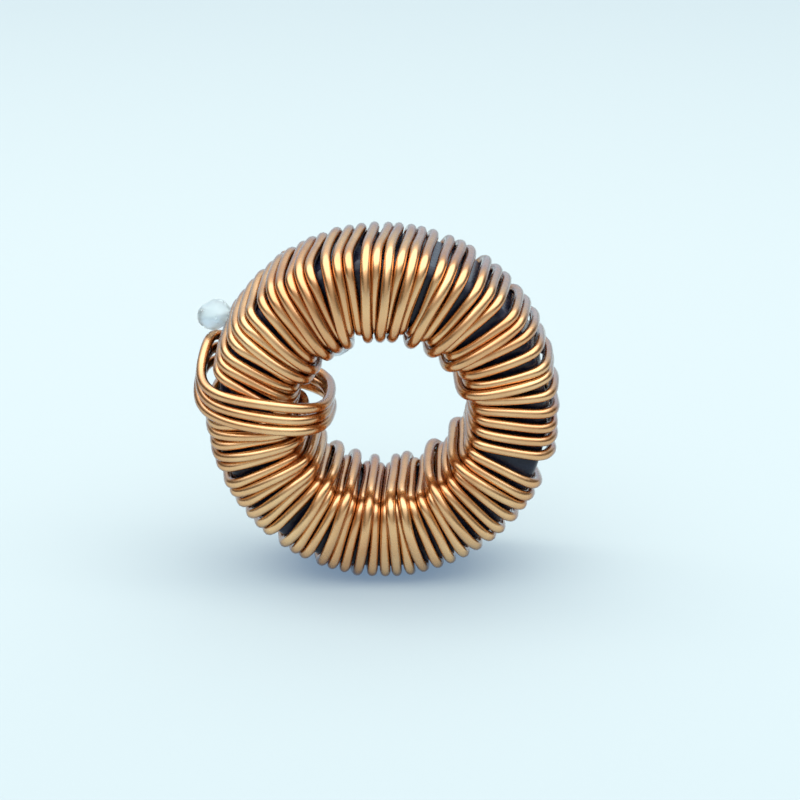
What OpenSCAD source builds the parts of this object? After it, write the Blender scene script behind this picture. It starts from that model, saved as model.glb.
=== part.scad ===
// Toroidal power choke: a coated powder ring wound with enamelled copper wire.
// Millimetres. The ring stands on its rim, with its axis along Y, its front towards -Y
// and +Z up. The origin is under the middle of the whole part, on the floor.

/* [Core] */
// Outside diameter of the coated ring
core_od = 33; // [32:0.1:34]
// Diameter of the hole through the coated ring
core_id = 19.8; // [19.6:0.1:21]
// Height of the coated ring along its axis
core_h = 11.1; // [8:0.1:16]
// Radius of the ring's rounded edges
core_edge_r = 1.2; // [1:0.1:1.6]

/* [Wire] */
// Diameter of the wire over its enamel
wire_d = 1.0; // [0.8:0.05:1]
// Length of the straight lead ends behind the winding
lead_len = 9; // [4:0.5:14]

/* [Glue] */
// Radius of the dab of hot-melt glue on the rim
rim_dab_r = 1.7; // [1.2:0.1:1.8]
// Radius of the dab of hot-melt glue in the hole
hole_dab_r = 2.3; // [1.2:0.1:2.4]

/* [Hidden] */
$fn = 48;

wire_r = wire_d / 2;
// Clear gap between the wire and what it lies on, and the pitch of turns lying side by side
lay_gap = 0.03;
pitch = wire_d + 0.06;
// Distance of a wire's centreline from the surface it lies on
lay = wire_r + lay_gap;
// Stiff wire touches the ring at its edges and bows out a little between them
rim_bow = 0.4;
wall_bow = 0.25;
face_bow = 0.25;
rim_r = core_od / 2 + lay + rim_bow;
wall_r = core_id / 2 - lay - wall_bow;
face_y = core_h / 2 + lay + face_bow;
// The widest bends that still clear the ring's edges
function widest_bend(a, b) = core_edge_r + lay + a + b + sqrt(2 * a * b);
rim_bend_r = widest_bend(rim_bow, face_bow);
wall_bend_r = widest_bend(wall_bow, face_bow);
// How far a turn creeps round the ring as it crosses the rim, and the wall of the hole
rim_creep = 1.0;
raised_rim_creep = 2.2;
hole_creep_deg = 3.2;

// Places for turns side by side on the wall of the hole. A turn between two places rides in the
// valley of the turns below it, so it sits nearer the axis there and higher over the faces.
hole_places = 49;
place_deg = 360 / hole_places;
valley = sqrt(pow(pitch, 2) - pow(wall_r * sin(place_deg / 2), 2));
rider_r = wall_r * cos(place_deg / 2) - valley;
rider_rim_lift = 0.65;

// A few turns are raised: they cross over the others and hang loosely into the hole
raised_r = rider_r - 2.8;
raised_lift = 2.15;
raised_bend_r = 3.0;
raised_rim_lift = 1.4;
raised_rim_up = 1.4;
raised_deg = 188;
raised_step = 11.2;
raised_creep_deg = 14;
// One turn at the top stands a little proud of the rim
proud_turn = 9;
proud_up = 0.35;
// The ring stands on two turns that bow out to the floor, a little below the turns between them
foot_turns = [43, 47];
foot_z = rim_r + 0.08;

// Elbows end in short straight stubs, and a bead a hair thicker than the wire joins each stub
// to the straight stretch beyond it. Wire ends stop just short of the middle of their bead.
stub = 0.1;
bead_r = wire_r + 0.02;
bead_gap = 0.01;

// Each lead runs over the back face as far as its two bends need, with a short flat between
// them. The finish lead comes over the rim in a tighter bend than the turns do.
start_lead_deg = 124.2;
finish_lead_deg = -50;
finish_bend_r = 1.4;
lead_bend_r = 1;
lead_flat = 0.05;

// The dabs of glue lie over the outermost wires: angle round the ring, distance of the dab's
// centre from the axis, and its distance behind the ring's middle plane
dab_gap = 0.04;
rim_dab = [155, rim_r + 1.07, core_h / 2 - 0.55];
hole_dab = [133, rider_r + 0.08, core_h / 2 - 1.05];

// Bunches of turns round the rim, clockwise as seen from the front:
// angle of the first turn, angle of the last turn, number of turns, 1 if they are raised
bunches = [
    [134.0, 113.7, 6, 0], [108.7, 75.1, 9, 0], [70.0, 61.5, 3, 0], [55.7, 46.5, 3, 0],
    [40.1, 31.7, 3, 0], [24.3, 15.5, 3, 0], [8.4, -13.2, 5, 0], [-25.3, -34.1, 3, 0],
    [-39.5, -60.1, 5, 0], [-65.8, -69.9, 2, 0], [-75.7, -84.3, 3, 0], [-88.9, -93.6, 2, 0],
    [-98.5, -111.1, 4, 0], [-118.1, -126.2, 3, 0], [-132.7, -141.5, 3, 0],
    [-147.1, -155.2, 3, 0], [-162.4, -178.2, 5, 0], [-181.8, -190.4, 3, 1],
    [-196.8, -220.7, 7, 0]
];
// The one wire is divided into stretches of whole turns, one for each part of the ring: these are
// their first turns, and a hair of space parts each stretch from the one before
first_turns = [0, 6, 15, 24, 32, 40, 51, 60, 65, 68];
cut_gap = 0.06;

rim_deg = [for (b = bunches) for (i = [0 : b[2] - 1]) b[0] + (b[1] - b[0]) * i / (b[2] - 1)];
raised = [for (b = bunches) for (i = [0 : b[2] - 1]) b[3]];
turns = len(rim_deg);
first_raised = [for (i = [0 : len(raised) - 1]) if (raised[i] == 1) i][0];

// Places taken on the wall of the hole, counted clockwise: a whole number lies on the wall, and
// a half one rides in a valley. Each turn leans a little on its way in from the rim, more so at
// the top, and takes the nearest place that the one before leaves it.
function lean_to(deg) = deg + 1 + 3 * sin(deg);
function half(p) = p != floor(p);
function next_place(p, deg) = half(p) || -deg < (p + 0.75) * place_deg ? p + 0.5 : p + 1;
function place_list(i, p) = i == len(rim_deg) ? []
    : let (q = raised[i] == 1 ? p : next_place(p, lean_to(rim_deg[i])))
        concat([q], place_list(i + 1, q));
places = place_list(0, round(-lean_to(rim_deg[0]) / place_deg) - 1);

// Radius, angle, lift over the face and bend radius of turn i at the hole
function rides(i) = half(places[i]);
function hole_r(i) = raised[i] == 1 ? raised_r : rides(i) ? rider_r : wall_r;
function hole_deg(i) = raised[i] == 1
    ? raised_deg - raised_step * (i - first_raised) : -places[i] * place_deg;
function hole_lift(i) = raised[i] == 1 ? raised_lift : rides(i) ? valley : 0;
function hole_bend(i) = raised[i] == 1 ? raised_bend_r : wall_bend_r + hole_lift(i);
// Lift over the face and bend radius at the rim, of the stretch that runs to the hole end of
// turn j; a raised turn also stands off the rim, and the proud turn a little. The last turn
// crosses the rim at the same slant as the others, though it goes on further to its tighter bend
function rim_lift(j) = raised[j] == 1 ? raised_rim_lift : rides(j) ? rider_rim_lift : 0;
function rim_turn(i) = raised[i] == 1 ? raised_rim_creep
    : i == turns - 1 ? rim_creep * (1 + (rim_bend_r - finish_bend_r) / (face_y - rim_bend_r) / 2)
    : rim_creep;
function rim_end_deg(i, end) = rim_deg[i] - end * rim_turn(i) / rim_r * 180 / PI;
function is_foot(i) = i == foot_turns[0] || i == foot_turns[1];
function rim_end_r(i, end) = is_foot(i) ? -foot_z / sin(rim_end_deg(i, end))
    : rim_r + raised[i] * raised_rim_up + (i == proud_turn ? proud_up : 0);

// How far the leads reach behind the ring's middle plane
back_y = face_y + lead_bend_r + stub + bead_gap + lead_len;

// Corners of the wire's path in the ring's middle plane, at the front (end 0) and back (end 1)
function polar(r, deg) = [r * cos(deg), 0, r * sin(deg)];
function hole_turn(i) = raised[i] == 1 ? raised_creep_deg : hole_creep_deg;
function hole_point(i, end) = polar(hole_r(i), hole_deg(i) + end * hole_turn(i));
function rim_point(i, end) = polar(rim_end_r(i, end), rim_end_deg(i, end));
function unit(v) = v / norm(v);

// A straight stretch of wire from a to b, with a bead at each end, or cut short at b
module straight_wire(a, b, cut = false) {
    d = b - a;
    h = norm(d);
    translate(a) rotate([0, acos(d[2] / h), atan2(d[1], d[0])]) {
        sphere(r = bead_r);
        if (!cut) translate([0, 0, h]) sphere(r = bead_r);
        translate([0, 0, bead_gap])
            cylinder(r = wire_r, h = h - bead_gap - (cut ? cut_gap : bead_gap));
    }
}

// An elbow whose legs would meet at p: one leg runs along w, the other along f
module elbow(p, w, f, r) {
    c = p + (w + f) * r;
    z = cross(f, w);
    m = [
        [-f[0], -w[0], z[0], c[0]],
        [-f[1], -w[1], z[1], c[1]],
        [-f[2], -w[2], z[2], c[2]],
        [0, 0, 0, 1]
    ];
    multmatrix(m) {
        rotate_extrude(angle = 90) translate([r, 0]) circle(r = wire_r);
        translate([r, 0, 0]) rotate([90, 0, 0]) cylinder(r = wire_r, h = stub - bead_gap);
        translate([0, r, 0]) rotate([0, -90, 0]) cylinder(r = wire_r, h = stub - bead_gap);
    }
}

// The stretch over one face between the hole end of turn j and the rim end of turn i:
// side is -1 on the front and 1 on the back
module face_wire(i, j, side) {
    end = side > 0 ? 1 : 0;
    w = [0, -side, 0];
    hole = hole_point(j, end);
    rim = rim_point(i, end);
    f = unit(rim - hole);
    p = hole + [0, side * (face_y + hole_lift(j)), 0];
    q = rim + [0, side * (face_y + rim_lift(j)), 0];
    rim_bend = rim_bend_r + rim_lift(j);
    elbow(p, w, f, hole_bend(j));
    elbow(q, w, -f, rim_bend);
    straight_wire(p + f * (hole_bend(j) + stub), q - f * (rim_bend + stub));
}

// The stretch across the wall of the hole or the rim, ending where the elbows' stubs end
module cross_wire(front, back, front_y, back_y, cut = false) {
    straight_wire(front - [0, front_y - stub, 0], back + [0, back_y - stub, 0], cut);
}

// A lead end: from its corner p at the hole or the rim it runs along f over the back face, turns
// away from the ring and goes straight
module lead(p, f, corner_r) {
    q = p + f * (corner_r + lead_bend_r + 2 * stub + lead_flat);
    elbow(p, [0, -1, 0], f, corner_r);
    elbow(q, [0, 1, 0], -f, lead_bend_r);
    straight_wire(p + f * (corner_r + stub), q - f * (lead_bend_r + stub));
    translate(q + [0, lead_bend_r + stub, 0]) rotate([-90, 0, 0]) {
        sphere(r = bead_r);
        translate([0, 0, bead_gap]) cylinder(r = wire_r, h = lead_len);
    }
}

// Moves the ring from the origin to where it stands on the floor
module standing() {
    front_y = face_y + raised_lift + bead_r;
    translate([raised_rim_up / 2, (front_y - back_y) / 2, foot_z + bead_r]) children();
}

module core() {
    w = core_h / 2 - core_edge_r;
    color("#1b1d26") standing() rotate([90, 0, 0]) rotate_extrude($fn = 180) {
        translate([core_id / 2, -w]) square([(core_od - core_id) / 2, 2 * w]);
        translate([core_id / 2 + core_edge_r, -core_h / 2])
            square([(core_od - core_id) / 2 - 2 * core_edge_r, core_h]);
        for (x = [core_id / 2 + core_edge_r, core_od / 2 - core_edge_r])
            for (y = [-w, w])
                translate([x, y]) circle(r = core_edge_r);
    }
}

// Stretch n of the wire, counted from 1
module stretch(n) {
    first = first_turns[n - 1];
    last = n == len(first_turns) ? turns - 1 : first_turns[n] - 1;
    rim_y = face_y - rim_bend_r;
    start = hole_point(0, 1) + [0, face_y, 0];
    finish = rim_point(turns - 1, 1) + [0, face_y, 0];
    color("#b8763a") standing() {
        for (i = [first : last]) {
            hole_y = face_y + hole_lift(i) - hole_bend(i);
            face_wire(i, i, -1);
            end_y = i == turns - 1 ? face_y - finish_bend_r : rim_y;
            cross_wire(hole_point(i, 0), hole_point(i, 1), hole_y, hole_y, i == first && i > 0);
            cross_wire(rim_point(i, 0), rim_point(i, 1), rim_y, end_y);
            if (i < turns - 1) face_wire(i, i + 1, 1);
        }
        if (first == 0) lead(start, polar(1, start_lead_deg), wall_bend_r);
        if (last == turns - 1) lead(finish, polar(1, finish_lead_deg), finish_bend_r);
    }
}

module winding_1() { stretch(1); }
module winding_2() { stretch(2); }
module winding_3() { stretch(3); }
module winding_4() { stretch(4); }
module winding_5() { stretch(5); }
module winding_6() { stretch(6); }
module winding_7() { stretch(7); }
module winding_8() { stretch(8); }
module winding_9() { stretch(9); }
module winding_10() { stretch(10); }

module rim_glue() {
    color("#dfe6e8") standing() difference() {
        translate(polar(rim_dab[1], rim_dab[0]) + [0, rim_dab[2], 0]) sphere(r = rim_dab_r);
        rotate([90, 0, 0])
            cylinder(r = rim_r + bead_r + dab_gap, h = 40, center = true, $fn = 180);
    }
}

module hole_glue() {
    color("#dfe6e8") standing() intersection() {
        translate(polar(hole_dab[1], hole_dab[0]) + [0, hole_dab[2], 0]) sphere(r = hole_dab_r);
        rotate([90, 0, 0])
            cylinder(r = rider_r - bead_r - dab_gap, h = 40, center = true, $fn = 180);
    }
}

core();
winding_1();
winding_2();
winding_3();
winding_4();
winding_5();
winding_6();
winding_7();
winding_8();
winding_9();
winding_10();
rim_glue();
hole_glue();
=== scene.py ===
# %% [markdown]
# # A toroidal power choke
# A choke like this is a ring of pressed metal powder with a dark glossy coat, wound by hand with
# one long enamelled copper wire. What makes it look real is the wire: every turn leans a little,
# rests on its neighbours and bends round the ring with a soft corner. So the wire is laid by the
# rule the winder followed, settled by a small contact solver, and given its thickness last.

# %% Load the fixed model and the tools
import bpy, bmesh, math
import numpy as np
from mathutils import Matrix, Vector, kdtree, noise


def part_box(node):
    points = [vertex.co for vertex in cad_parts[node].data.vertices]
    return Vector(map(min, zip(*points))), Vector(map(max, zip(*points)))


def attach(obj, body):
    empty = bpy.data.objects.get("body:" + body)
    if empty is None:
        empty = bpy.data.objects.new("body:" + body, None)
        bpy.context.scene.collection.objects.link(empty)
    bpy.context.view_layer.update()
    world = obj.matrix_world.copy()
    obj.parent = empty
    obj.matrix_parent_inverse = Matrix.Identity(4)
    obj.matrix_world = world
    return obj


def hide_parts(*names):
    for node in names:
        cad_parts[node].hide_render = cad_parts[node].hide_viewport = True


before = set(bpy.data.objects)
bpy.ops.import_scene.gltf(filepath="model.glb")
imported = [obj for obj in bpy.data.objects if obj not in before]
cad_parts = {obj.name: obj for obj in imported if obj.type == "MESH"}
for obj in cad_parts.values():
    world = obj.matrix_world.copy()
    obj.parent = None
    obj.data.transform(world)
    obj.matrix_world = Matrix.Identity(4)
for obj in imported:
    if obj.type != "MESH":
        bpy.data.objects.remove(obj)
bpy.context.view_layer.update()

MM = 0.001
print("nodes:", sorted(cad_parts))

# %% [markdown]
# ## The ring's place
# The ring stands on its rim with its axis along Y. Everything below is laid out round the ring's
# own middle, in millimetres, and moved to the floor frame at the end. The middle comes from the
# core's box, so it always agrees with the solid model.

# %% Find the middle of the ring
low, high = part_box("core")
middle = np.array((low + high) / 2)
core_od = (high.x - low.x) / MM
core_h = (high.y - low.y) / MM
print("ring middle (m):", middle.round(5), " outside:", round(core_od, 2), "height:", round(core_h, 2))


def placed(points_mm):
    """Points round the ring's middle in millimetres, as points of the floor frame in metres."""
    return np.asarray(points_mm) * MM + middle


# %% [markdown]
# ## The camera
# The ring is seen from its front, from about 21 degrees above, through a longish lens, so the
# wall of the hole shows at the bottom and hides behind the front at the top. The camera stands
# 250 mm off. The ring sits a little left of the middle of the square frame, so the camera is
# slid sideways by that much and looks straight ahead.

# %% Set the camera
camera_distance, camera_rise, camera_turn = 250 * MM, 21.0, 0.5
frame_px, px_per_mm, ring_px = 800, 9.8, (383.0, 400.0)
rise, turn = math.radians(camera_rise), math.radians(camera_turn)
away = Vector((math.sin(turn) * math.cos(rise), -math.cos(turn) * math.cos(rise), math.sin(rise)))
camera_data = bpy.data.cameras.new("camera")
sensor_mm = 36
camera_data.sensor_width = sensor_mm
camera_data.lens = sensor_mm * px_per_mm * camera_distance / MM / frame_px
camera_data.clip_start, camera_data.clip_end = 0.01, 20
camera = bpy.data.objects.new("camera", camera_data)
camera.rotation_euler = away.to_track_quat("Z", "Y").to_euler()
right = away.to_track_quat("Z", "Y") @ Vector((1, 0, 0))
upward = away.to_track_quat("Z", "Y") @ Vector((0, 1, 0))
slide = (right * (frame_px / 2 - ring_px[0]) / px_per_mm
         + upward * (ring_px[1] - frame_px / 2) / px_per_mm)
camera.location = Vector(middle) + away * camera_distance + slide * MM
bpy.context.scene.collection.objects.link(camera)
bpy.context.scene.camera = camera
bpy.context.scene.view_settings.view_transform = "Standard"
print("lens (mm):", round(camera_data.lens, 1))

# %% [markdown]
# ## The wire's rule
# A winder passes the wire through the hole turn after turn, clockwise round the ring. Outside,
# the turns stand in loose bunches with the dark core showing between them. Inside there is less
# room than outside, so the turns there lie in two layers: some on the wall of the hole, and the
# others riding in the valleys between two of those. The wire is laid by the sizes of the solid
# model and drawn at its full size over a thick enamel, which the solver below makes room for.

# %% Sizes of the ring and the wire, in millimetres
core_id, core_edge = 19.8, 1.2
wire_d, full_d = 1.0, 1.07
# how far a wire's middle is from what it lies on, and from a wire beside it
lay, pitch = wire_d / 2 + 0.03, wire_d + 0.06
# stiff wire touches the ring at its edges and bows out a little between them
rim_bow, wall_bow, face_bow = 0.4, 0.25, 0.25
rim_r, wall_r = core_od / 2 + lay + rim_bow, core_id / 2 - lay - wall_bow
face_y = core_h / 2 + lay + face_bow


def widest_bend(a, b):
    """The widest bend that clears the ring's edge, where the wire stands off by a and by b."""
    return core_edge + lay + a + b + math.sqrt(2 * a * b)


rim_bend_r, wall_bend_r = widest_bend(rim_bow, face_bow), widest_bend(wall_bow, face_bow)
hole_places = 49
place_deg = 360 / hole_places
valley = math.sqrt(pitch**2 - (wall_r * math.sin(math.radians(place_deg / 2))) ** 2)
rider_r = wall_r * math.cos(math.radians(place_deg / 2)) - valley
print("first layer at", round(wall_r, 2), "mm, riders at", round(rider_r, 2), "mm from the axis")

# %% The bunches of turns round the rim
# first turn, last turn (degrees, counter-clockwise from the right), number of turns, raised or not
bunches = [
    (134.0, 113.7, 6, 0), (108.7, 75.1, 9, 0), (70.0, 61.5, 3, 0), (55.7, 46.5, 3, 0),
    (40.1, 31.7, 3, 0), (24.3, 15.5, 3, 0), (8.4, -13.2, 5, 0), (-25.3, -34.1, 3, 0),
    (-39.5, -60.1, 5, 0), (-65.8, -69.9, 2, 0), (-75.7, -84.3, 3, 0), (-88.9, -93.6, 2, 0),
    (-98.5, -111.1, 4, 0), (-118.1, -126.2, 3, 0), (-132.7, -141.5, 3, 0),
    (-147.1, -155.2, 3, 0), (-162.4, -178.2, 5, 0), (-181.8, -190.4, 3, 1),
    (-196.8, -220.7, 7, 0),
]
rim_deg = np.concatenate([np.linspace(a, b, n) for a, b, n, _ in bunches])
raised = np.concatenate([np.full(n, k) for _, _, n, k in bunches]).astype(bool)
turns = len(rim_deg)
print("turns:", turns, "of them raised:", int(raised.sum()))

# %% The place that each turn takes on the wall of the hole
# A whole number lies on the wall and a half one rides. A turn leans by lean_to() on its way in.
def lean_to(deg):
    return deg + 1 + 3 * math.sin(math.radians(deg))


places, place = [], round(-lean_to(rim_deg[0]) / place_deg) - 1
for deg, up in zip(rim_deg, raised):
    if not up:
        riding = place != math.floor(place)
        place += 0.5 if riding or -lean_to(deg) < (place + 0.75) * place_deg else 1
    places.append(place)
rides = np.array([p != math.floor(p) for p in places]) & ~raised
print("turns that ride on others:", int(rides.sum()))

# %% [markdown]
# ## One turn
# A turn runs out over the front face, across the rim, in over the back face and along the wall of
# the hole. It moves on by about one wire as it crosses the rim. Each corner is a quarter circle.
# A few turns on the left are wound loosely: they are raised, cross over the others and hang into
# the hole.

# %% Sizes of a turn, in millimetres and degrees
# how far a turn moves on as it crosses the rim, and the wall of the hole
rim_creep, raised_rim_creep = 1.0, 2.2
hole_creep_deg, raised_creep_deg = 3.2, 14.0
# the raised turns at the hole, how far they stand off at the rim, and the riders' lift there; they
# stand off 0.05 mm less than in the solid model, because the wire is drawn thicker here
raised_r, raised_lift, raised_bend_r = rider_r - 2.8, 2.15, 3.0
raised_deg, raised_step = 188, 11.2
raised_rim_up, raised_rim_lift, rider_rim_lift = 1.35, 1.4, 0.65
# one turn at the top stands a little proud, and the ring stands on two turns at the bottom
proud_turn, proud_up = 9, 0.35
foot_turns, foot_z = (43, 47), rim_r + 0.08
# the two leads; the flat and the length take in the short stubs that the solid model has
start_lead_deg, finish_lead_deg, finish_bend_r = 124.2, -50, 1.4
lead_bend_r, lead_flat, lead_len = 1.0, 0.25, 9.11
last_turn = turns - 1
first_raised = int(np.argmax(raised))

# %% Where each turn is at the hole and at the rim
def ring_point(radius, deg, y=0.0):
    return np.array([radius * math.cos(math.radians(deg)), y, radius * math.sin(math.radians(deg))])


def hole_end(i):
    """Radius, angle, lift over the face and corner radius of turn i at the hole."""
    if raised[i]:
        return raised_r, raised_deg - raised_step * (i - first_raised), raised_lift, raised_bend_r
    if rides[i]:
        return rider_r, -places[i] * place_deg, valley, wall_bend_r + valley
    return wall_r, -places[i] * place_deg, 0.0, wall_bend_r


def rim_end(i, end):
    """Where turn i is at the rim, at the front (end 0) or the back (end 1)."""
    creep = raised_rim_creep if raised[i] else rim_creep
    if i == last_turn:
        creep *= 1 + (rim_bend_r - finish_bend_r) / (face_y - rim_bend_r) / 2
    deg = rim_deg[i] - end * math.degrees(creep / rim_r)
    if i in foot_turns:
        return ring_point(-foot_z / math.sin(math.radians(deg)), deg)
    up = raised_rim_up if raised[i] else proud_up if i == proud_turn else 0.0
    return ring_point(rim_r + up, deg)


# %% Corners and stretches
def corner(at, leg, out, radius, steps=8):
    """A quarter circle from the leg's side to the out side of the corner at a point."""
    t = np.linspace(0, math.pi / 2, steps)[:, None]
    return at + (leg + out) * radius - out * radius * np.cos(t) - leg * radius * np.sin(t)


def face_stretch(i, j, side):
    """The stretch over one face from the hole end of turn j to the rim end of turn i."""
    end = (side + 1) / 2
    radius, deg, lift, bend = hole_end(j)
    rim_lift = raised_rim_lift if raised[j] else rider_rim_lift if rides[j] else 0.0
    leg = np.array([0, -side, 0])
    hole = ring_point(radius, deg + end * (raised_creep_deg if raised[j] else hole_creep_deg))
    rim = rim_end(i, end)
    out = (rim - hole) / np.linalg.norm(rim - hole)
    first = corner(hole - leg * (face_y + lift), leg, out, bend)
    last = corner(rim - leg * (face_y + rim_lift), leg, -out, rim_bend_r + rim_lift)[::-1]
    return np.vstack([first, last])


# %% Lay the whole wire, from the start lead to the finish lead
def lead(at, deg, corner_r):
    """A lead end: from its corner it runs out over the back face, turns away and goes straight."""
    back, out = np.array([0, 1, 0]), ring_point(1, deg)
    at = at + back * face_y
    turn_away = at + out * (corner_r + lead_bend_r + lead_flat)
    bends = [corner(at, -back, out, corner_r), corner(turn_away, back, -out, lead_bend_r)[::-1]]
    return np.vstack(bends + [turn_away + back * (lead_bend_r + lead_len)])


start = ring_point(wall_r, hole_end(0)[1] + hole_creep_deg)
stretches = [lead(start, start_lead_deg, wall_bend_r)[::-1]]
loose = [0]
for i in range(turns):
    stretches.append(face_stretch(i, i, -1))
    loose.append(raised[i])
    if i < turns - 1:
        stretches.append(face_stretch(i, i + 1, 1)[::-1])
        loose.append(raised[i + 1])
stretches.append(lead(rim_end(last_turn, 1), finish_lead_deg, finish_bend_r))
loose.append(0)
laid = np.vstack([np.c_[s, np.full(len(s), k)] for s, k in zip(stretches, loose)])


def evenly(points, step):
    """The same path with its points a fixed step apart."""
    run = np.r_[0, np.cumsum(np.linalg.norm(np.diff(points[:, :3], axis=0), axis=1))]
    at = np.linspace(0, run[-1], round(run[-1] / step) + 1)
    return np.stack([np.interp(at, run, column) for column in points.T], 1)


path_step = 0.6
laid = evenly(laid, path_step)
laid, looseness = laid[:, :3], laid[:, 3:]
print("wire laid:", len(laid), "points,", round(path_step * (len(laid) - 1) / 1000, 2), "m")


# %% Loose turns and small unplanned bends
def soften(points, weight, rounds=36):
    """Loose turns are rounder than tight ones, so their corners are smoothed away."""
    for _ in range(rounds):
        points[1:-1] += 0.5 * weight[1:-1] * ((points[2:] + points[:-2]) / 2 - points[1:-1])
    return points


def wander(points, size=0.5, length=12.0, seed=4, row=(3.7, 1.3), still=30):
    """The path moved about by a smooth noise that runs along it, half as much along the axis. The
    first and last points are kept still, so the leads stay straight."""
    noise.seed_set(seed)
    moved = points.copy()
    for k in range(still, len(points) - still):
        at = Vector((k * path_step / length, *row))
        moved[k] += size * np.array(noise.noise_vector(at)) * (1, 0.5, 1)
    return moved


# %% [markdown]
# ## Settling the wire
# Real wire is stiff and pulled tight. Each round of the solver does three things: it smooths the
# path a little, which rounds the corners and takes the kinks out; it pushes every two stretches
# apart that are closer than one wire; and it pushes the wire out of the ring and off the floor. A
# weak pull back to where it was laid keeps each turn in its place. The last rounds only push, so
# nothing is left cutting into anything.

# %% Push the wire out of the ring
def clear_of_core(points, gap):
    """Moves points that are nearer to the ring than gap straight out, to that distance."""
    radius = np.hypot(points[:, 0], points[:, 2])
    middle_r, half_w = (core_od + core_id) / 4, (core_od - core_id) / 4 - core_edge
    over_r = np.abs(radius - middle_r) - half_w
    over_y = np.abs(points[:, 1]) - (core_h / 2 - core_edge)
    out_r, out_y = np.maximum(over_r, 0), np.maximum(over_y, 0)
    out = np.hypot(out_r, out_y)
    push = np.maximum(gap - (out + np.minimum(np.maximum(over_r, over_y), 0) - core_edge), 0)
    buried = out < 1e-9
    along_r = np.where(buried, over_r > over_y, out_r / np.maximum(out, 1e-9)) * push
    along_y = np.where(buried, over_r <= over_y, out_y / np.maximum(out, 1e-9)) * push
    along_r = along_r * np.sign(radius - middle_r) / radius
    points += np.stack([along_r * points[:, 0], along_y * np.sign(points[:, 1]), along_r * points[:, 2]], 1)


# %% Push stretches of wire apart
def close_pairs(points, reach, skip=6):
    """Pairs of points nearer than reach that aren't next to each other along the wire."""
    tree = kdtree.KDTree(len(points))
    for k, p in enumerate(points):
        tree.insert(p, k)
    tree.balance()
    pairs = [(a, b) for a, p in enumerate(points) for _, b, _ in tree.find_range(p, reach) if b > a + skip]
    return np.array(pairs).T


def push_apart(points, first, second, gap, give=0.3):
    """Moves each pair that is nearer than gap a part of the way to where they only touch."""
    for a, b in ((first, second), (second, first)):
        for step in (-1, 1):
            c = np.clip(b + step, 0, len(points) - 1)
            edge = points[c] - points[b]
            size = np.maximum((edge**2).sum(1), 1e-9)
            t = np.clip(((points[a] - points[b]) * edge).sum(1) / size, 0, 1)[:, None]
            apart = points[a] - points[b] - edge * t
            far = np.linalg.norm(apart, axis=1)[:, None]
            close = (far < gap)[:, 0]
            move = (apart / np.maximum(far, 1e-6) * (gap - far) * give)[close]
            t = t[close]
            shift, weight = np.zeros_like(points), np.zeros((len(points), 1))
            for which, part, sign in ((a, np.ones_like(t), 1), (b, 1 - t, -1), (c, t, -1)):
                np.add.at(shift, which[close], sign * part * move)
                np.add.at(weight, which[close], part)
            points += shift / np.maximum(weight, 1)


# %% Settle it
floor_drop = middle[2] / MM


def settle(points, rounds, last_rounds=30, look_again=6, stiff=0.12, tight=0.12, hold=0.01):
    """The settled path. Close pairs are looked for again every few rounds."""
    start = points.copy()
    for k in range(rounds + last_rounds):
        if k % look_again == 0:
            first, second = close_pairs(points, full_d * 1.45)
        if k < rounds:
            smooth, twice = np.zeros_like(points), np.zeros_like(points)
            smooth[1:-1] = (points[2:] + points[:-2]) / 2 - points[1:-1]
            twice[1:-1] = (smooth[2:] + smooth[:-2]) / 2 - smooth[1:-1]
            points[2:-2] += (tight * smooth - 2 * stiff * twice)[2:-2]
            points += hold * (start - points)
            push_apart(points, first, second, full_d)
        push_apart(points, first, second, full_d)
        clear_of_core(points, full_d / 2 + 0.01)
        points[:, 2] = np.maximum(points[:, 2], full_d / 2 - floor_drop)
    return points


loosely_laid = wander(soften(laid.copy(), looseness))
wire_path = settle(loosely_laid, 120)
print("the wire moved by at most", round(float(np.abs(wire_path - laid).max()), 2), "mm")

# %% [markdown]
# ## Colours and node helpers
# Colours are written as sRGB hex values, the way a paint program shows them, and turned to the
# linear values that the shaders work in.

# %% Helpers for materials
def srgb(hex_colour):
    """A hex colour as linear red, green and blue, with alpha 1."""
    parts = [int(hex_colour[k:k + 2], 16) / 255 for k in (1, 3, 5)]
    return tuple(c / 12.92 if c <= 0.04045 else ((c + 0.055) / 1.055) ** 2.4 for c in parts) + (1.0,)


def add_node(tree, kind, settings=None, links=None, **values):
    """One node with its settings, its input values by name, and links to its inputs."""
    node = tree.nodes.new(kind)
    for key, value in (settings or {}).items():
        setattr(node, key, value)
    for key, value in values.items():
        node.inputs[key.replace("_", " ")].default_value = value
    for key, source in (links or {}).items():
        tree.links.new(source, node.inputs[key])
    return node


def new_material(name):
    material = bpy.data.materials.new(name)
    material.use_nodes = True
    return material, material.node_tree, material.node_tree.nodes["Principled BSDF"]


# %% [markdown]
# ## Enamelled copper
# Magnet wire is drawn copper under a thin baked varnish. The base is the metal as it looks through
# the amber varnish: a golden copper with soft, broad highlights. At a grazing angle the light has
# further to go through the varnish, so the edge tint is a dark brown, and it draws a dark line
# along both sides of each turn. The smooth outside of the varnish is a clear coat that adds a
# second, sharper highlight. A cloud pattern with patches about 7 mm across stands for a varnish
# that is thicker in some places than in others: it shifts the colour between a redder and a paler
# gold. The same clouds dent the surface very slightly, and a grain about 1 mm across changes the
# roughness, so the highlights break up along the wire.

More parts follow.
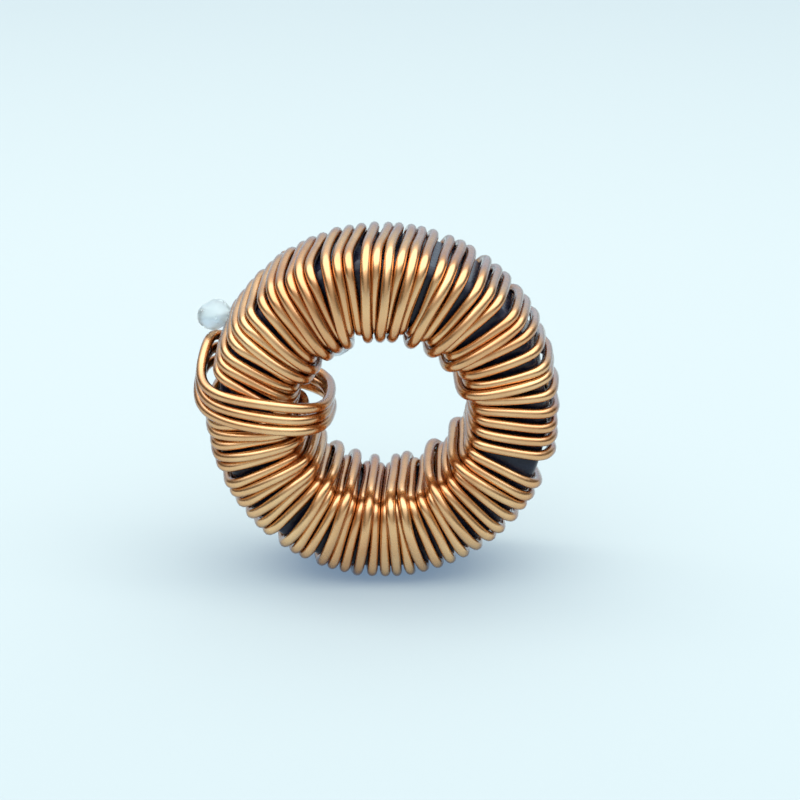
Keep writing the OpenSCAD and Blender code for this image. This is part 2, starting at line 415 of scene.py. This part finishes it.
# %% Material: enamelled copper wire
copper, tree, shader = new_material("enamelled_copper_wire")
shader.inputs["Metallic"].default_value = 1.0
shader.inputs["Specular Tint"].default_value = srgb("#503026")
shader.inputs["Coat Weight"].default_value = 1.0
shader.inputs["Coat Roughness"].default_value = 0.1
shader.inputs["Coat IOR"].default_value = 1.65
coords = add_node(tree, "ShaderNodeTexCoord").outputs["Object"]
cloud = add_node(tree, "ShaderNodeTexNoise", links={"Vector": coords}, Scale=140.0, Detail=3.0)
tint = add_node(tree, "ShaderNodeValToRGB", links={"Fac": cloud.outputs["Fac"]})
tint.color_ramp.elements[0].position, tint.color_ramp.elements[1].position = 0.35, 0.68
tint.color_ramp.elements[0].color, tint.color_ramp.elements[1].color = srgb("#DB9B60"), srgb("#F4C288")
tree.links.new(tint.outputs["Color"], shader.inputs["Base Color"])
grain = add_node(tree, "ShaderNodeTexNoise", links={"Vector": coords}, Scale=900.0, Detail=4.0)
rough = add_node(tree, "ShaderNodeMapRange", links={"Value": grain.outputs["Fac"]}, To_Min=0.2, To_Max=0.34)
tree.links.new(rough.outputs["Result"], shader.inputs["Roughness"])
dents = add_node(tree, "ShaderNodeBump", links={"Height": cloud.outputs["Fac"]},
                 Strength=0.25, Distance=0.0002)
tree.links.new(dents.outputs["Normal"], shader.inputs["Normal"])
print("made", copper.name)

# %% [markdown]
# ## Giving the wire its thickness
# A Geometry Nodes tree turns the settled path into a tube: the path becomes a smooth curve, the
# curve is cut into even steps, and a circle is swept along it, with a flat cap at each end.

# %% Geometry Nodes: path to wire
def wire_tree():
    tree = bpy.data.node_groups.new("wire_along_path", "GeometryNodeTree")
    face = tree.interface
    face.new_socket("Geometry", in_out="INPUT", socket_type="NodeSocketGeometry")
    for name, kind in (("Wire Radius", "Float"), ("Step", "Float"), ("Sides", "Int"),
                       ("Material", "Material")):
        face.new_socket(name, in_out="INPUT", socket_type="NodeSocket" + kind)
    face.new_socket("Geometry", in_out="OUTPUT", socket_type="NodeSocketGeometry")
    given = add_node(tree, "NodeGroupInput").outputs
    curve = add_node(tree, "GeometryNodeMeshToCurve", links={"Mesh": given["Geometry"]})
    soft = add_node(tree, "GeometryNodeCurveSplineType", {"spline_type": "CATMULL_ROM"},
                    {"Curve": curve.outputs["Curve"]})
    even = add_node(tree, "GeometryNodeResampleCurve", {"mode": "LENGTH"},
                    {"Curve": soft.outputs["Curve"], "Length": given["Step"]})
    ring = add_node(tree, "GeometryNodeCurvePrimitiveCircle", {"mode": "RADIUS"},
                    {"Radius": given["Wire Radius"], "Resolution": given["Sides"]})
    tube = add_node(tree, "GeometryNodeCurveToMesh",
                    links={"Curve": even.outputs["Curve"], "Profile Curve": ring.outputs["Curve"]})
    tube.inputs["Fill Caps"].default_value = True
    smooth = add_node(tree, "GeometryNodeSetShadeSmooth", links={"Geometry": tube.outputs["Mesh"]})
    real = add_node(tree, "GeometryNodeRealizeInstances", links={"Geometry": smooth.outputs["Geometry"]})
    dressed = add_node(tree, "GeometryNodeSetMaterial",
                       links={"Geometry": real.outputs["Geometry"], "Material": given["Material"]})
    add_node(tree, "NodeGroupOutput", links={"Geometry": dressed.outputs["Geometry"]})
    return tree


# %% Make the winding
def mesh_object(name, points, edges=(), faces=()):
    mesh = bpy.data.meshes.new(name)
    mesh.from_pydata([tuple(p) for p in points], edges, faces)
    thing = bpy.data.objects.new(name, mesh)
    bpy.context.scene.collection.objects.link(thing)
    return thing


def baked(thing):
    """The object with its modifiers turned into a plain mesh."""
    ready = thing.evaluated_get(bpy.context.evaluated_depsgraph_get())
    mesh = bpy.data.meshes.new_from_object(ready)
    thing.modifiers.clear()
    thing.data = mesh
    return thing


count = len(wire_path)
winding = mesh_object("copper_winding", placed(wire_path), [(k, k + 1) for k in range(count - 1)])
maker = winding.modifiers.new("wire", "NODES")
maker.node_group = wire_tree()
sockets = {item.name: item.identifier for item in maker.node_group.interface.items_tree
           if item.in_out == "INPUT"}
wire_values = {"Wire Radius": full_d / 2 * MM, "Step": 0.45 * MM, "Sides": 12, "Material": copper}
for name, value in wire_values.items():
    maker[sockets[name]] = value
baked(winding)
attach(winding, "root")
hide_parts(*["winding_%d" % n for n in range(1, 11)])
print("winding:", len(winding.data.polygons), "faces")

# %% [markdown]
# ## The core's coat
# The powder ring is dipped or sprayed with epoxy that cures to a glossy near-black with a cold
# tint. It flows a little as it cures, so the gloss is broken by a slight orange peel a few tenths
# of a millimetre across, and the wire has left faint dull rubs on it.

# %% Material: epoxy coat
epoxy, tree, shader = new_material("epoxy_coat")
shader.inputs["IOR"].default_value = 1.5
shader.inputs["Specular IOR Level"].default_value = 0.3
coords = add_node(tree, "ShaderNodeTexCoord").outputs["Object"]
rubs = add_node(tree, "ShaderNodeTexNoise", links={"Vector": coords}, Scale=450.0, Detail=5.0)
shade = add_node(tree, "ShaderNodeValToRGB", links={"Fac": rubs.outputs["Fac"]})
shade.color_ramp.elements[0].color, shade.color_ramp.elements[1].color = srgb("#121728"), srgb("#232A40")
shade.color_ramp.elements[0].position, shade.color_ramp.elements[1].position = 0.4, 0.75
tree.links.new(shade.outputs["Color"], shader.inputs["Base Color"])
gloss = add_node(tree, "ShaderNodeMapRange", links={"Value": rubs.outputs["Fac"]}, To_Min=0.12, To_Max=0.4)
tree.links.new(gloss.outputs["Result"], shader.inputs["Roughness"])
peel = add_node(tree, "ShaderNodeTexNoise", links={"Vector": coords}, Scale=2500.0, Detail=2.0)
skin = add_node(tree, "ShaderNodeBump", links={"Height": peel.outputs["Fac"]}, Strength=0.3, Distance=0.0001)
tree.links.new(skin.outputs["Normal"], shader.inputs["Normal"])
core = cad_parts["core"]
core.data.materials.clear()
core.data.materials.append(epoxy)
print("core coat on", len(core.data.polygons), "faces")

# %% [markdown]
# ## Hot-melt glue
# Clear glue from a glue gun holds the loose turns. It is laid on soft, so its underside takes the
# curve of the wires below, and it sets as a rounded, waxy dab with small swells. It lets most of
# the light through, and its slightly cloudy skin comes from the roughness.

# %% Material: clear hot-melt glue
glue, tree, shader = new_material("clear_hot_melt_glue")
shader.inputs["Base Color"].default_value = srgb("#DCE8EB")
shader.inputs["IOR"].default_value = 1.48
shader.inputs["Transmission Weight"].default_value = 0.85
coords = add_node(tree, "ShaderNodeTexCoord").outputs["Object"]
swell = add_node(tree, "ShaderNodeTexNoise", links={"Vector": coords}, Scale=700.0, Detail=2.0)
wax = add_node(tree, "ShaderNodeMapRange", links={"Value": swell.outputs["Fac"]}, To_Min=0.2, To_Max=0.4)
tree.links.new(wax.outputs["Result"], shader.inputs["Roughness"])
ripple = add_node(tree, "ShaderNodeBump", links={"Height": swell.outputs["Fac"]},
                  Strength=0.1, Distance=0.0002)
tree.links.new(ripple.outputs["Normal"], shader.inputs["Normal"])

# %% Shape the dabs
def glue_dab(name, node, centre, size, floor_r, inward):
    """A soft lump over the wires: a ball with half sizes from size, pulled out of round, that rests
    on the wires at floor_r from the axis, from the inside of the ring or from the outside."""
    ball = bmesh.new()
    bmesh.ops.create_icosphere(ball, subdivisions=5, radius=1)
    centre = np.array(centre)
    for v in ball.verts:
        swell = 0.9 + 0.2 * noise.noise(v.co * 1.1 + Vector(centre))
        p = centre + np.array(v.co) * np.array(size) * min(swell, 1.0)
        r = math.hypot(p[0], p[2])
        keep = min(r, floor_r) if inward else max(r, floor_r)
        p[0], p[2] = p[0] * keep / r, p[2] * keep / r
        v.co = placed(p)
    mesh = bpy.data.meshes.new(name)
    ball.to_mesh(mesh)
    ball.free()
    mesh.shade_smooth()
    mesh.materials.append(glue)
    dab = bpy.data.objects.new(name, mesh)
    bpy.context.scene.collection.objects.link(dab)
    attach(dab, "root")
    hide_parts(node)


glue_dab("rim_glue_dab", "rim_glue", ring_point(18.8, 157.2, 5.3), (2.0, 1.9, 1.65), 17.5, False)
glue_dab("hole_glue_dab", "hole_glue", ring_point(7.4, 134, 4.3), (2.4, 2.4, 2.2), 8.0, True)
print("glue dabs made")

# %% [markdown]
# ## Floor and light
# The ring stands on a pale sheet under a large soft light. A second, narrow light above only
# shapes the shadow under the ring: reflections don't show it. The sheet's colour is painted a
# little paler towards the back to even out the light that falls on it. The sheet also glows
# faintly with a pale blue painted light. This glow stands in for light from all sides and keeps
# the shadow on the sheet a pale blue. The room is bright above and behind, dimmer on the viewer's
# side and brown-grey at the far left and right: shiny wire shows what is round it, and without
# those darker parts it would look flat and washed out.

# %% Floor
floor = mesh_object("floor", [(-3, -3, 0), (3, -3, 0), (3, 3, 0), (-3, 3, 0)], (), [(0, 1, 2, 3)])
sheet, tree, shader = new_material("pale_floor_sheet")
coords = add_node(tree, "ShaderNodeTexCoord").outputs["Object"]
parts = add_node(tree, "ShaderNodeSeparateXYZ", links={"Vector": coords})
# painted light: the sheet's colour is made a little paler towards the back to even out the light on it
painted_lift_towards_back = add_node(tree, "ShaderNodeMapRange", links={"Value": parts.outputs["Y"]},
                 From_Min=-0.08, From_Max=0.1)
pale = add_node(tree, "ShaderNodeMix", {"data_type": "RGBA"}, {0: painted_lift_towards_back.outputs["Result"]})
pale.inputs[6].default_value, pale.inputs[7].default_value = srgb("#989E96"), srgb("#9CA198")
tree.links.new(pale.outputs[2], shader.inputs["Base Color"])
shader.inputs["Roughness"].default_value = 0.9
shader.inputs["Specular IOR Level"].default_value = 0.1
# painted light: the sheet's faint pale blue glow stands in for light from all sides and keeps its shadow
# blue
shader.inputs["Emission Color"].default_value = srgb("#84A2C1")
shader.inputs["Emission Strength"].default_value = 0.64
floor.data.materials.append(sheet)

# %% Soft light from above
def soft_light(name, at, size, watts):
    data = bpy.data.lights.new(name, "AREA")
    data.shape, data.size, data.size_y, data.energy = "RECTANGLE", size[0], size[1], watts
    lamp = bpy.data.objects.new(name, data)
    lamp.location = Vector(at)
    lamp.rotation_euler = (Vector(at) - Vector(middle)).to_track_quat("Z", "Y").to_euler()
    bpy.context.scene.collection.objects.link(lamp)
    return lamp


soft_light("overhead_softbox", (0.0, 0.0, 0.44), (0.9, 0.8), 2.9)
shadow_light = soft_light("shadow_softbox", (0.01, 0.03, 0.35), (0.9, 0.1), 0.9)
shadow_light.visible_glossy = False

# %% The room round it
room = bpy.data.worlds.new("pale_room")
room.use_nodes = True
bpy.context.scene.world = room
tree = room.node_tree
sky = tree.nodes["Background"]
way = add_node(tree, "ShaderNodeTexCoord").outputs["Generated"]
axis = add_node(tree, "ShaderNodeSeparateXYZ", links={"Vector": way})


def sky_step(source, low, high, dark, light):
    """A smooth change from one colour to another, between two values of the direction."""
    step = add_node(tree, "ShaderNodeMapRange", {"interpolation_type": "SMOOTHSTEP"}, {"Value": source},
                    From_Min=low, From_Max=high)
    mix = add_node(tree, "ShaderNodeMix", {"data_type": "RGBA"}, {0: step.outputs["Result"]})
    for socket, colour in ((6, dark), (7, light)):
        if isinstance(colour, str):
            mix.inputs[socket].default_value = srgb(colour)
        else:
            tree.links.new(colour, mix.inputs[socket])
    return mix.outputs[2]


sideways = add_node(tree, "ShaderNodeMath", {"operation": "ABSOLUTE"})
tree.links.new(axis.outputs["X"], sideways.inputs[0])
walls = sky_step(axis.outputs["Y"], -0.7, 0.4, "#A3A4A2", "#D4E6F4")
sides = sky_step(sideways.outputs["Value"], 0.35, 0.8, walls, "#5C5854")
ceiling = sky_step(axis.outputs["Z"], 0.3, 0.75, sides, "#F2F8FC")
tree.links.new(ceiling, sky.inputs["Color"])
sky.inputs["Strength"].default_value = 1.3
